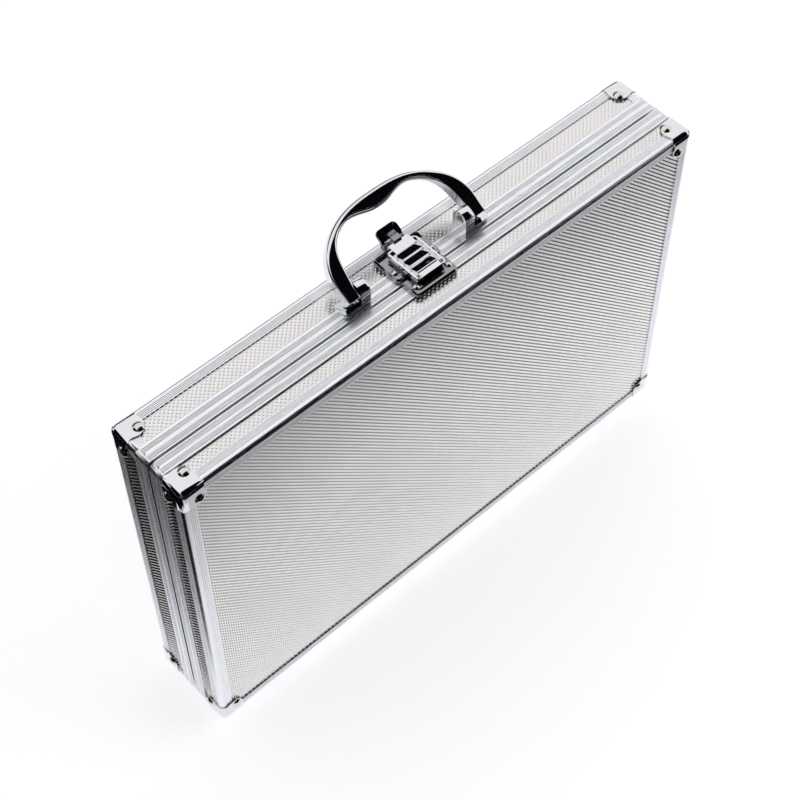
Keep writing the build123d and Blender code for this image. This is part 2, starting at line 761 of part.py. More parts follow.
# the bow is drawn upright in the plane of the pivot axis, then leaned back to where it rests
outer_points = arch(leg_x[1], bow_height + bow_wall / 2, 16)
inner_points = arch(leg_x[0], bow_height - bow_wall / 2, 16)
bow_plane = Plane((0, handle_y + leg_thickness / 2, pivot_z), x_dir=(1, 0, 0), z_dir=(0, -1, 0))
with BuildPart() as bow:
    with BuildSketch(bow_plane):
        with BuildLine():
            outside = Spline(*outer_points, tangents=[(0, 1), (0, -1)])
            inside = Spline(*inner_points, tangents=[(0, 1), (0, -1)])
            Line(outside @ 0, inside @ 0)
            Line(outside @ 1, inside @ 1)
        make_face()
    extrude(amount=leg_thickness)
    with BuildSketch(Plane.YZ.offset(0)):
        with Locations((handle_y, pivot_z)):
            Circle(leg_thickness / 2)
    extrude(amount=leg_x[1], both=True)
    add(block((-leg_x[0], leg_x[0]), (handle_y - leg_thickness, handle_y + leg_thickness),
              (pivot_z - leg_thickness, pivot_z + leg_thickness / 2 + 0.5)), mode=Mode.SUBTRACT)
    with BuildSketch(bow_plane):
        with BuildLine():
            bottom = bow_height - bow_wall / 2 - belly_depth
            Line((-belly_half_length, bow_height), (belly_half_length, bow_height))
            Spline(
                (belly_half_length, bow_height),
                (belly_half_length * 0.7, bottom + belly_depth * 0.4),
                (0, bottom),
                (-belly_half_length * 0.7, bottom + belly_depth * 0.4),
                (-belly_half_length, bow_height),
            )
        make_face()
    extrude(amount=leg_thickness)
    for sx in (-1, 1):
        with BuildSketch(Plane.YZ.offset(sx * leg_x[0] if sx > 0 else -leg_x[1])):
            with Locations((handle_y, pivot_z)):
                Circle(handle_pin_radius + handle_pin_clearance)
        extrude(amount=leg_width, mode=Mode.SUBTRACT)
        deep = dog_rise + 2 * dog_clearance - leg_gap
        sector(
            leg_x[0] if sx > 0 else -leg_x[0] - deep,
            leg_thickness / 2 + 1,
            handle_pin_radius,
            90 + dog_half_angle,
            360 - 2 * dog_half_angle,
            deep,
            Mode.SUBTRACT,
        )
pivot_axis = Axis((0, handle_y, pivot_z), (1, 0, 0))
keep("handle_bow", bow.part.rotate(pivot_axis, -handle_lean))

pin_length = lug_width + leg_gap + leg_width - handle_pin_inset
handle_pin = rivet(handle_pin_head, handle_pin_rise, handle_pin_radius, pin_length)
keep(
    "handle_pins",
    group(
        placed(handle_pin, Plane((s * foot_inner, handle_y, pivot_z), x_dir=(0, 1, 0), z_dir=(-s, 0, 0)))
        for s in (-1, 1)
    ),
)
screws = []
for plane_x, length in zip(handle_screw_xs, screw_length):
    screw = rivet(handle_screw_head, handle_screw_head_rise, handle_screw_radius, length)
    screws += [placed(screw, Plane((s * plane_x, handle_screw_y, inner_top), z_dir=(0, 0, -1))) for s in (-1, 1)]
keep("handle_screws", group(screws))

# ---------------------------------------------------------------- latch, lid side
lid_plate_y = (lid_back - lid_plate_from_seam, lid_back - lid_plate_from_seam + lid_plate_length)
hasp_y = (-hasp_front, hasp_rear)
hasp_pivot = Vector(0, hasp_y[0] + hasp_pivot_inset, rim_top + hasp_pivot_rise)
ear_x = (field_half + piece_gap, field_half + piece_gap + ear_width)
with BuildPart() as lid_plate:
    add(block((-lid_plate_half, lid_plate_half), lid_plate_y, (rim_top, rim_top + lid_plate_rise)))
    front_edges = lid_plate.edges().filter_by(Axis.Z).sort_by(Axis.Y)[:2]
    fillet(front_edges, lid_plate_round)
    chamfer(lid_plate.faces().sort_by(Axis.Z)[-1].edges(), lid_plate_bevel)
    under = lid_back - lid_rim_width - piece_gap
    under_x = lid_plate_half - lid_plate_round
    add(block((-under_x, under_x), (lid_plate_y[0], under), (board_top, rim_top)))
    for s in (-1, 1):
        x0 = ear_x[0] if s > 0 else -ear_x[1]
        with BuildSketch(Plane.YZ.offset(x0)):
            with Locations((hasp_pivot.Y, hasp_pivot.Z)):
                Circle(ear_radius)
            post_y = (hasp_pivot.Y - ear_post_front, hasp_pivot.Y + ear_radius)
            with Locations((sum(post_y) / 2, (rim_top + lid_plate_rise + hasp_pivot.Z) / 2)):
                Rectangle(post_y[1] - post_y[0], hasp_pivot_rise - lid_plate_rise)
        extrude(amount=ear_width)
    with BuildSketch(Plane.YZ.offset(-ear_x[1])):
        with Locations((hasp_pivot.Y, hasp_pivot.Z)):
            Circle(hasp_pin_radius + rivet_clearance)
    extrude(amount=2 * ear_x[1], mode=Mode.SUBTRACT)
holes = through(latch_rivet_shank / 2 + clear, latch_rivet_planes(lid_rivet_x, lid_latch_y, 0), tall)
keep("lid_latch_plate", drilled(lid_plate.part, holes))

latch_depth = board + rim_wall
lid_rivet = rivet(
    latch_rivet_head / 2, latch_rivet_rise, latch_rivet_shank / 2, latch_depth + lid_plate_rise
)
keep("lid_latch_rivets", group(
    placed(lid_rivet, p) for p in latch_rivet_planes(lid_rivet_x, lid_latch_y, lid_plate_rise)
))

# the hasp: a shallow tray with a raised rim, a ridged middle and a lip at its rear
hasp_floor_z = rim_top + hasp_low
lip_low = rim_top + hasp_high
lip_end = hasp_y[1] + lip_overhang
claw_y = (hasp_y[1] - claw_length, hasp_y[1])
with BuildPart() as hasp:
    add(block((-hasp_half, hasp_half), hasp_y, (hasp_floor_z, rim_top + hasp_high)))
    fillet(hasp.edges().filter_by(Axis.Z), hasp_round)
    chamfer(hasp.faces().sort_by(Axis.Z)[-1].edges(), hasp_bevel)
    heel = hasp.faces().sort_by(Axis.Z)[0].edges().filter_by(Axis.X).sort_by(Axis.Y)[0]
    chamfer(heel, hasp_heel_chamfer)
    inner_y = (hasp_y[0] + hasp_front_bar, hasp_y[1] - hasp_wall)
    tray_z = (hasp_floor_z + hasp_floor, rim_top + hasp_high + 1)
    add(block((-hasp_half + hasp_wall, hasp_half - hasp_wall), inner_y, tray_z), mode=Mode.SUBTRACT)
    field_y = (inner_y[0], lip_end - lip_length)
    field_z = rim_top + hasp_high - field_drop
    add(block((-field_half, field_half), (field_y[0], inner_y[1]), (hasp_floor_z, field_z)))
    front_bar_y = (hasp_y[0] + hasp_front_wall, inner_y[0])
    add(
        block((-field_half, field_half), front_bar_y, (rim_top + hasp_high - hasp_ditch, rim_top + hasp_high + 1)),
        mode=Mode.SUBTRACT,
    )
    # teeth for the fingers: each has its crest in front and falls away to the rear
    tooth = (field_y[1] - field_y[0]) / teeth
    for i in range(teeth):
        start = field_y[0] + i * tooth
        crest = rim_top + hasp_high + tooth_step * (i + 1)
        with BuildSketch(Plane.YZ.offset(-field_half)):
            with BuildLine():
                Polyline(
                    (start, field_z),
                    (start, crest),
                    (start + crest_length, crest),
                    (start + tooth, field_z),
                    (start, field_z),
                )
            make_face()
        extrude(amount=2 * field_half)
    lip_y = (lip_end - lip_length, lip_end)
    add(block((-field_half, field_half), lip_y, (field_z, lip_low + lip_wall)))
    chamfer(hasp.faces().sort_by(Axis.Y)[-1].edges().filter_by(Axis.X).sort_by(Axis.Z)[-1:], lip_bevel)
    for s in (-1, 1):
        notch_x = sorted((s * field_half, s * (hasp_half - hasp_wall)))
        notch_y = (hasp_y[0] + hasp_front_wall, inner_y[0])
        add(block(notch_x, notch_y, (hasp_floor_z - 1, rim_top + hasp_high + 1)), mode=Mode.SUBTRACT)
        under_strip = (hasp_floor_z - 1, rim_top + hasp_high - hasp_strip)
        add(block(notch_x, (hasp_y[0] - 1, notch_y[0]), under_strip), mode=Mode.SUBTRACT)
    add(block((-claw_half, claw_half), claw_y, (hasp_floor_z - claw_depth, hasp_floor_z)))
    skirt_y = (inner_y[0], claw_y[0])
    add(block((-hasp_skirt_half, hasp_skirt_half), skirt_y, (rim_top + hasp_skirt_low, hasp_floor_z)))
    with BuildSketch(Plane.YZ.offset(-2 * hasp_half)):
        with Locations((hasp_pivot.Y, hasp_pivot.Z)):
            Circle(hasp_pin_radius + hasp_pin_clearance)
    extrude(amount=4 * hasp_half, mode=Mode.SUBTRACT)
keep("hasp", hasp.part)
with BuildPart() as hasp_pin:
    with BuildSketch(Plane.YZ.offset(-hasp_half + pin_end_inset)):
        with Locations((hasp_pivot.Y, hasp_pivot.Z)):
            Circle(hasp_pin_radius)
    extrude(amount=2 * (hasp_half - pin_end_inset))
keep("hasp_pin", hasp_pin.part)

# ---------------------------------------------------------------- latch, base side
base_plate_y = (base_front + base_plate_setback, base_front + base_plate_setback + base_plate_length)
tab_pivot = Vector(0, lip_end + tab_pivot_from_lip, rim_top + tab_pivot_rise)
claw_pocket_y = (claw_y[0] - claw_clearance, claw_y[1] + claw_clearance + claw_swing_room)
with BuildPart() as base_plate:
    over = (base_front + base_rim_width + piece_gap, base_plate_y[1])
    add(block((-base_plate_half, base_plate_half), base_plate_y, (rim_top, rim_top + base_plate_rise)))
    chamfer(base_plate.edges().filter_by(Axis.Z), base_plate_corner)
    chamfer(base_plate.faces().sort_by(Axis.Z)[-1].edges(), base_plate_bevel)
    over_x = base_plate_half - base_plate_corner
    add(block((-over_x, over_x), over, (board_top, rim_top)))
    ear_top = tab_pivot.Z - rim_top
    knuckle_room = (tab_pivot.Y - tab_barrel_radius - tab_knuckle_gap, base_plate_y[1] + 1)
    room_x = tab_half + tab_knuckle_gap
    add(block((-room_x, room_x), knuckle_room, (rim_top + tab_pivot_rise - tab_barrel_radius - tab_knuckle_gap,
                                                rim_top + base_plate_rise + 1)), mode=Mode.SUBTRACT)
    for s in (-1, 1):
        x0 = tab_knuckle_half + spring_gap if s > 0 else -tab_knuckle_half - spring_gap - tab_ear_width
        with BuildSketch(Plane.YZ.offset(x0)):
            with Locations((tab_pivot.Y, tab_pivot.Z)):
                Circle(tab_barrel_radius)
            reach = tab_pivot.Y - base_plate_y[1] + tab_ear_root
            with Locations((tab_pivot.Y - reach, rim_top + tab_ear_foot)):
                Rectangle(reach + tab_barrel_radius, ear_top - tab_ear_foot, align=(Align.MIN, Align.MIN))
        extrude(amount=tab_ear_width)
    pocket = (rim_top + base_plate_rise - claw_depth, rim_top + base_plate_rise + 1)
    add(block((-claw_half - claw_clearance, claw_half + claw_clearance), claw_pocket_y, pocket),
        mode=Mode.SUBTRACT)
    with BuildSketch(Plane.YZ.offset(-tab_half)):
        with Locations((tab_pivot.Y, tab_pivot.Z)):
            Circle(tab_pin_radius + rivet_clearance)
    extrude(amount=2 * tab_half, mode=Mode.SUBTRACT)
holes = through(latch_rivet_shank / 2 + clear, latch_rivet_planes(base_rivet_x, base_latch_y, 0), tall)
keep("base_latch_plate", drilled(base_plate.part, holes))
base_rivet = rivet(
    latch_rivet_head / 2, latch_rivet_rise, latch_rivet_shank / 2, latch_depth + base_plate_rise
)
keep("base_latch_rivets", group(
    placed(base_rivet, p) for p in latch_rivet_planes(base_rivet_x, base_latch_y, base_plate_rise)
))

# the spring tab: two outer knuckles joined above the ears by a plate that ends in nose and thumb piece
nose_low = lip_low + lip_wall + nose_gap
outer_knuckle = tab_knuckle_half + 2 * spring_gap + tab_ear_width
lean = radians(thumb_lean)
with BuildPart() as tab:
    for s in (-1, 1):
        with BuildSketch(Plane.YZ.offset(outer_knuckle if s > 0 else -tab_half)):
            with Locations((tab_pivot.Y, tab_pivot.Z)):
                Circle(tab_barrel_radius)
        extrude(amount=tab_half - outer_knuckle)
    wall_front = tab_pivot.Y + tab_wall_setback
    wall_low = tab_pivot.Z + tab_barrel_radius + tab_wall_gap
    thumb_foot = (wall_front + thumb_wall + thumb_flare, wall_low)
    thumb_tip = (thumb_foot[0] + thumb_length * sin(lean), thumb_foot[1] + thumb_length * cos(lean))
    thumb_top = (thumb_tip[0] - thumb_wall * cos(lean), thumb_tip[1] + thumb_wall * sin(lean))
    with BuildSketch(Plane.YZ.offset(-tab_half)):
        with BuildLine():
            root = (wall_front, wall_low + thumb_wall)
            Polyline((wall_front, wall_low), thumb_foot, thumb_tip, thumb_top, root, (wall_front, wall_low))
        make_face()
    extrude(amount=2 * tab_half)
    with BuildSketch(Plane.YZ.offset(-nose_half)):
        with BuildLine():
            nose_end = lip_end - nose_overlap
            Polyline(
                (wall_front, wall_low),
                (wall_front + thumb_wall, wall_low),
                (wall_front + thumb_wall, nose_low + nose_wall),
                (nose_end, nose_low + nose_wall),
                (nose_end, nose_low),
                (wall_front, nose_low),
                (wall_front, wall_low),
            )
        make_face()
    extrude(amount=2 * nose_half)
    for s in (-1, 1):
        cheek = sorted((s * outer_knuckle, s * tab_half))
        add(block(cheek, (tab_pivot.Y, tab_pivot.Y + tab_barrel_radius), (tab_pivot.Z, wall_low + tab_wall_gap)))
    with BuildSketch(Plane.YZ.offset(-tab_half)):
        with Locations((tab_pivot.Y, tab_pivot.Z)):
            Circle(tab_pin_radius + tab_pin_clearance)
    extrude(amount=2 * tab_half, mode=Mode.SUBTRACT)
    tip_edges = [
        e for e in tab.edges()
        if abs(abs(e.center().X) - tab_half) < 0.01
        and (e.center() - Vector(e.center().X, *thumb_tip)).length < thumb_wall * 0.6
    ]
    fillet(tip_edges, thumb_round)
keep("latch_tab", tab.part)
with BuildPart() as tab_pin:
    with BuildSketch(Plane.YZ.offset(-tab_half + pin_end_inset)):
        with Locations((tab_pivot.Y, tab_pivot.Z)):
            Circle(tab_pin_radius)
    extrude(amount=2 * (tab_half - pin_end_inset))
keep("tab_pin", tab_pin.part)

# a close-wound torsion spring between the ears, drawn as its ribbed outer form
turns = int(2 * (tab_knuckle_half - spring_gap) / spring_wire)
spring_inner = tab_pin_radius + spring_gap / 2
spring_start = -turns * spring_wire / 2
with BuildPart() as spring:
    with BuildSketch(Plane(tab_pivot, x_dir=(1, 0, 0), z_dir=(0, 0, 1))):
        with BuildLine():
            for i in range(turns):
                x = spring_start + i * spring_wire
                ThreePointArc(
                    (x, spring_inner + spring_wire / 2),
                    (x + spring_wire / 2, spring_inner + spring_wire),
                    (x + spring_wire, spring_inner + spring_wire / 2),
                )
            Polyline(
                (-spring_start, spring_inner + spring_wire / 2),
                (-spring_start, spring_inner),
                (spring_start, spring_inner),
                (spring_start, spring_inner + spring_wire / 2),
            )
        make_face()
    revolve(axis=Axis(tab_pivot, (1, 0, 0)))
keep("tab_spring", spring.part)

# ---------------------------------------------------------------- write everything
corners = [piece.bounding_box() for piece in bodies.values()]
low_y = min(box.min.Y for box in corners)
high_y = max(box.max.Y for box in corners)
shift = -(low_y + high_y) / 2
for name, piece in bodies.items():
    moved = Pos(0, shift, 0) * piece
    moved.label = name
    export_step(moved, f"parts/{name}.step")

print("shift", round(shift, 4))
print("seam y", round(shift, 3), "hinge z", round(hinge_z, 3))
print("handle pivot", round(handle_y + shift, 3), round(pivot_z, 3))
print("hasp pivot", round(hasp_pivot.Y + shift, 3), round(hasp_pivot.Z, 3))
print("tab pivot", round(tab_pivot.Y + shift, 3), round(tab_pivot.Z, 3))
print("rows z", [round(z, 2) for z in row_zs], "tray front", round(tray_front + shift, 3))
print("pockets x", [round(c, 2) for c in centres], "z", round(box_mid, 2))
print("base foot y", round(base_foot_y + shift, 3), "lid foot y", round(lid_foot_y + shift, 3))
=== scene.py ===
"""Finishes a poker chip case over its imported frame: plated castings, ribbed aluminium and
embossed skins, with a studio to show it in. Every size is in metres, in the frame's own axes."""

import json
from math import cos, pi, radians, sin, sqrt

import bmesh
import bpy
from bpy.props import FloatProperty, FloatVectorProperty, PointerProperty
from mathutils import Matrix, Vector


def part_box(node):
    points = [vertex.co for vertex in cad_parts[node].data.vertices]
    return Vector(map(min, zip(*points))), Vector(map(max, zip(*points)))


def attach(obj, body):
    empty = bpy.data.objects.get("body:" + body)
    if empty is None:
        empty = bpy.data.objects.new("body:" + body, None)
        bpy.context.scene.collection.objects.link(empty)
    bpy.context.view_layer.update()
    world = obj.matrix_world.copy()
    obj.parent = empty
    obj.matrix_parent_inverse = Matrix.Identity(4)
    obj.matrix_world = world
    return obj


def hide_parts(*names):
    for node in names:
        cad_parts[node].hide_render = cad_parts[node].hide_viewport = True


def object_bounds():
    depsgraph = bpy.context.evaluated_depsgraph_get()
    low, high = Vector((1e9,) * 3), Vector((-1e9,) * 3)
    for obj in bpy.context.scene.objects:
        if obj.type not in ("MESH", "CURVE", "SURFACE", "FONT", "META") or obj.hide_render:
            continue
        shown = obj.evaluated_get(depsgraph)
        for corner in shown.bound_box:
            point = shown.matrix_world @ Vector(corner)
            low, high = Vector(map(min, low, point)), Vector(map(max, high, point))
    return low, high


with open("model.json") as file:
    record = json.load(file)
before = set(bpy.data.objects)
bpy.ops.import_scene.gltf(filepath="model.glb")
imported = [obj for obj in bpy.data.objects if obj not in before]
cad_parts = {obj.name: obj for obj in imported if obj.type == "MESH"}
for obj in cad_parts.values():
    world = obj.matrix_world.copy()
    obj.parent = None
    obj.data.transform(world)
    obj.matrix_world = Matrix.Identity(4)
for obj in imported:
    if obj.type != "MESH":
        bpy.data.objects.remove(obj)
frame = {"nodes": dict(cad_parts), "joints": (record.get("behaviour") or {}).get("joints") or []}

bl_info = {
    "name": "Poker chip case finish",
    "version": (1, 0, 0),
    "blender": (4, 5, 0),
    "location": "3D View > Sidebar > Chip case",
    "description": "Dresses the packed frame of a chip case in its real finishes",
    "category": "Object",
}

CAD_LOW, CAD_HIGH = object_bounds()
NODES = frame["nodes"]
JOINTS = {joint["name"]: joint for joint in frame["joints"]}


def joint_point(name):
    """A joint's place in the frame."""
    return Vector(JOINTS[name]["pos_m"])


# ---------------------------------------------------------------- what a user would change
class SkinSettings(bpy.types.PropertyGroup):
    """The embossed skin glued on the boards."""

    pitch: FloatProperty(
        name="Stud pitch",
        description="Distance from each stud to its nearest neighbours, on the slant",
        default=0.0022,
        unit="LENGTH",
    )
    rise: FloatProperty(
        name="Stud height",
        description="How far each stud stands above the skin",
        default=0.00074,
        unit="LENGTH",
    )
    face_slim: FloatProperty(
        name="Face slimness",
        description="Share of their width that the studs keep on the two large faces",
        default=0.62,
    )
    stud: FloatProperty(
        name="Stud radius",
        description="Radius of each stud at its foot",
        default=0.00086,
        unit="LENGTH",
    )
    colour: FloatVectorProperty(
        name="Skin colour",
        description="Colour of the metal foil on the skin",
        default=(0.87, 0.85, 0.845),
        subtype="COLOR",
    )


class MetalSettings(bpy.types.PropertyGroup):
    """The case's metals."""

    extrusion: FloatVectorProperty(
        name="Extrusion colour",
        description="Colour of the anodised aluminium profiles",
        default=(0.90, 0.91, 0.945),
        subtype="COLOR",
    )
    chrome: FloatVectorProperty(
        name="Chrome colour",
        description="Colour of the bright plating",
        default=(0.78, 0.79, 0.82),
        subtype="COLOR",
    )
    rivet: FloatVectorProperty(
        name="Rivet colour",
        description="Colour of the nickel-plated rivets",
        default=(0.74, 0.70, 0.66),
        subtype="COLOR",
    )
    edge_round: FloatProperty(
        name="Plated edge radius",
        description="Rounding on the edges of the plated pieces",
        default=0.00022,
        unit="LENGTH",
    )


class HandleSettings(bpy.types.PropertyGroup):
    """The bow handle, drawn upright over its pivot axis."""

    half_span: FloatProperty(
        name="Half span",
        description="Distance from the middle to the centre of each leg",
        default=0.0469,
        unit="LENGTH",
    )
    height: FloatProperty(
        name="Height",
        description="Height of the bow's centre line over the pivot axis",
        default=0.039,
        unit="LENGTH",
    )
    power: FloatProperty(
        name="Squareness",
        description="Exponent of the bow's superellipse: 2 is an ellipse, more is squarer",
        default=2.6,
    )
    leg: FloatProperty(
        name="Leg width",
        description="Width of the square legs",
        default=0.0083,
        unit="LENGTH",
    )
    lean: FloatProperty(
        name="Lean",
        description="How far the handle leans back at rest",
        default=radians(60),
        subtype="ANGLE",
    )


class StudioSettings(bpy.types.PropertyGroup):
    """Camera and light."""

    lens: FloatProperty(
        name="Focal length",
        description="Camera focal length on a 36 mm sensor",
        default=79.19,
        unit="CAMERA",
    )
    azimuth: FloatProperty(
        name="Azimuth",
        description="Camera's bearing round the case",
        default=radians(-41.65),
        subtype="ANGLE",
    )
    elevation: FloatProperty(
        name="Elevation",
        description="Camera's height over the horizon",
        default=radians(53.83),
        subtype="ANGLE",
    )
    roll: FloatProperty(
        name="Roll",
        description="Camera's turn about its own axis",
        default=radians(-0.69),
        subtype="ANGLE",
    )
    camera_place: FloatVectorProperty(
        name="Camera place",
        description="Where the camera stands",
        default=(-0.4317, -0.47366, 1.0104),
        subtype="XYZ",
        unit="LENGTH",
    )
    fill: FloatProperty(
        name="Fill",
        description="Strength of the even light from the room",
        default=0.55,
    )


# ---------------------------------------------------------------- materials
class Finish:
    """A principled material under construction."""

    def __init__(self, name, colour, metallic, roughness):
        self.material = bpy.data.materials.new(name)
        self.material.use_nodes = True
        self.nodes = self.material.node_tree.nodes
        self.links = self.material.node_tree.links
        self.shader = self.nodes["Principled BSDF"]
        self.set("Base Color", (*colour, 1.0))
        self.set("Metallic", metallic)
        self.set("Roughness", roughness)

    def set(self, socket, value):
        self.shader.inputs[socket].default_value = value

    def place(self, stretch=(1, 1, 1)):
        """Object coordinates, stretched along an axis for drawn or rolled metal."""
        coordinates = self.nodes.new("ShaderNodeTexCoord")
        mapping = self.nodes.new("ShaderNodeMapping")
        mapping.inputs["Scale"].default_value = stretch
        self.links.new(coordinates.outputs["Object"], mapping.inputs["Vector"])
        return mapping.outputs["Vector"]

    def noise(self, scale, detail=3.0, rough=0.5, stretch=(1, 1, 1)):
        """A noise pattern's value, with scale in waves per metre."""
        noise = self.nodes.new("ShaderNodeTexNoise")
        noise.inputs["Scale"].default_value = scale
        noise.inputs["Detail"].default_value = detail
        noise.inputs["Roughness"].default_value = rough
        self.links.new(self.place(stretch), noise.inputs["Vector"])
        return noise.outputs["Fac"]

    def spread(self, value, low, high):
        """A value from 0 to 1 spread over another range."""
        ranged = self.nodes.new("ShaderNodeMapRange")
        ranged.inputs["To Min"].default_value = low
        ranged.inputs["To Max"].default_value = high
        self.links.new(value, ranged.inputs["Value"])
        return ranged.outputs["Result"]

    def vary_roughness(self, value, low, high):
        self.links.new(self.spread(value, low, high), self.shader.inputs["Roughness"])

    def vary_colour(self, value, dark, light):
        mix = self.nodes.new("ShaderNodeMix")
        mix.data_type = "RGBA"
        mix.inputs["A"].default_value = (*dark, 1.0)
        mix.inputs["B"].default_value = (*light, 1.0)
        self.links.new(value, mix.inputs["Factor"])
        self.links.new(mix.outputs["Result"], self.shader.inputs["Base Color"])

    def bump(self, value, distance, strength=1.0):
        bump = self.nodes.new("ShaderNodeBump")
        bump.inputs["Distance"].default_value = distance
        bump.inputs["Strength"].default_value = strength
        self.links.new(value, bump.inputs["Height"])
        self.links.new(bump.outputs["Normal"], self.shader.inputs["Normal"])


def tint(colour, amount):
    """A colour made darker or lighter by a factor."""
    return tuple(min(1.0, channel * amount) for channel in colour)


def extrusion_metal(name, colour, along):
    """Satin anodised aluminium with fine die lines along one axis."""
    finish = Finish(name, colour, 1.0, 0.32)
    stretch = {"X": (0.02, 1, 1), "Y": (1, 0.02, 1), "Z": (1, 1, 0.02)}[along]
    lines = finish.noise(2600, 2.0, 0.6, stretch)
    cloud = finish.noise(60, 3.0)
    finish.vary_roughness(lines, 0.20, 0.33)
    finish.vary_colour(cloud, tint(colour, 0.95), tint(colour, 1.03))
    finish.bump(lines, 0.00003, 0.5)
    return finish.material


def skin_metal(name, colour):
    """Rolled foil, a little cloudy, with a fine grain."""
    finish = Finish(name, colour, 1.0, 0.2)
    cloud = finish.noise(45, 4.0)
    grain = finish.noise(5200, 2.0)
    finish.vary_colour(cloud, tint(colour, 0.93), tint(colour, 1.04))
    finish.vary_roughness(grain, 0.14, 0.28)
    finish.bump(grain, 0.00002, 0.25)
    return finish.material


def plated_metal(name, colour, low=0.03, high=0.10):
    """Bright plating with faint polishing haze."""
    finish = Finish(name, colour, 1.0, 0.06)
    haze = finish.noise(220, 4.0, 0.6)
    ripple = finish.noise(90, 1.0)
    finish.vary_roughness(haze, low, high)
    finish.vary_colour(haze, tint(colour, 0.96), tint(colour, 1.02))
    finish.bump(ripple, 0.00012, 0.25)
    return finish.material


def plain_steel(name, colour):
    """Turned steel of pins, screws and springs."""
    finish = Finish(name, colour, 1.0, 0.3)
    lines = finish.noise(3000, 2.0, 0.5, (0.05, 1, 1))
    finish.vary_roughness(lines, 0.22, 0.42)
    finish.vary_colour(lines, tint(colour, 0.9), tint(colour, 1.05))
    return finish.material


def cell_foam(name, colour):
    """Black closed-cell foam, with its cut cells as fine pits."""
    finish = Finish(name, colour, 0.0, 0.95)
    cells = finish.noise(2400, 4.0, 0.7)
    cloud = finish.noise(40, 2.0)
    finish.vary_colour(cloud, tint(colour, 0.8), tint(colour, 1.5))
    finish.bump(cells, 0.0003, 0.8)
    finish.set("Sheen Weight", 0.25)
    finish.set("Sheen Roughness", 0.6)
    return finish.material


def moulded_rubber(name, colour):
    """Black rubber with a dusty bloom."""
    finish = Finish(name, colour, 0.0, 0.7)
    bloom = finish.noise(300, 3.0)
    finish.vary_colour(bloom, tint(colour, 0.8), tint(colour, 1.8))
    finish.vary_roughness(bloom, 0.55, 0.85)
    finish.bump(bloom, 0.00008, 0.5)
    return finish.material


def bare_board(name, colour):
    """Pale fibre board, seen only at cut edges inside."""
    finish = Finish(name, colour, 0.0, 0.8)
    fibre = finish.noise(900, 4.0, 0.6)
    finish.vary_colour(fibre, tint(colour, 0.85), tint(colour, 1.1))
    finish.bump(fibre, 0.00005, 0.5)
    return finish.material


def dress(node, material):
    """Give a CAD node a finish."""
    piece = NODES[node]
    piece.data.materials.clear()
    piece.data.materials.append(material)
    return piece


def round_edges(piece, radius, segments=2):
    """Small rounded edges on a CAD node or piece, without touching its mesh."""
    weld = piece.modifiers.new("weld", "WELD")
    weld.merge_threshold = 1e-6
    bevel = piece.modifiers.new("edges", "BEVEL")
    bevel.width = radius
    bevel.segments = segments
    bevel.limit_method = "ANGLE"
    bevel.angle_limit = radians(35)
    bevel.harden_normals = True
    bevel.use_clamp_overlap = True


def as_piece(name, mesh, material, body, replaced=(), smooth=True):
    """Put a finished mesh in the scene, riding on a body, and hide the CAD nodes it replaces."""
    piece = bpy.data.objects.new(name, mesh)
    bpy.context.scene.collection.objects.link(piece)
    mesh.materials.append(material)
    if smooth:
        mesh.shade_smooth()
    if replaced:
        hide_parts(*replaced)
    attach(piece, body)
    return piece


def sheet_mesh(name, points, faces):
    """A mesh made of points and faces."""
    data = bpy.data.meshes.new(name)
    data.from_pydata(points, [], faces)
    data.update()
    return data


def closed_mesh(name, points, faces):
    """A closed mesh, with all its faces turned outwards."""
    data = sheet_mesh(name, points, faces)
    mesh = bmesh.new()
    mesh.from_mesh(data)
    bmesh.ops.recalc_face_normals(mesh, faces=mesh.faces)
    mesh.to_mesh(data)
    mesh.free()
    return data


def settings():
    return bpy.context.scene.chip_case


# ---------------------------------------------------------------- embossed skins
SKIN_LIFT = 0.00004  # the skin stands this far off its board
SKIN_TUCK = 0.0008  # and reaches this far under the profiles round it
STUD_SIDES = 6


def studded_skin(name, middle, across, up, width, height, skin, slim):
    """A flat sheet with small low studs at the corners of squares that stand on a point.

    middle is the sheet's centre; across and up are unit vectors in its plane, and the studs
    point along across x up.
    """
    out = across.cross(up)
    ground = middle + out * SKIN_LIFT
    half_x, half_y = width / 2, height / 2
    points = [ground + across * x + up * y for x, y in ((-half_x, -half_y), (half_x, -half_y))]
    points += [ground + across * x + up * y for x, y in ((half_x, half_y), (-half_x, half_y))]
    faces = [(0, 1, 2, 3)]
    radius = skin.stud
    turns = [2 * pi * (k + 0.5) / STUD_SIDES for k in range(STUD_SIDES)]
    foot = [across * (radius * slim * cos(t)) + up * (radius * sin(t)) for t in turns]
    step = skin.pitch / sqrt(2)
    rows = int((half_y - radius) / step)
    columns = int((half_x - radius) / step)
    for j in range(-rows, rows + 1):
        for i in range(-columns, columns + 1):
            if (i + j) % 2:
                continue
            centre = ground + across * (i * step) + up * (j * step)
            first = len(points)
            points.append(centre + out * skin.rise)
            points += [centre + spoke for spoke in foot]
            faces += [
                (first, first + 1 + k, first + 1 + (k + 1) % STUD_SIDES) for k in range(STUD_SIDES)
            ]
    return sheet_mesh(name, points, faces)


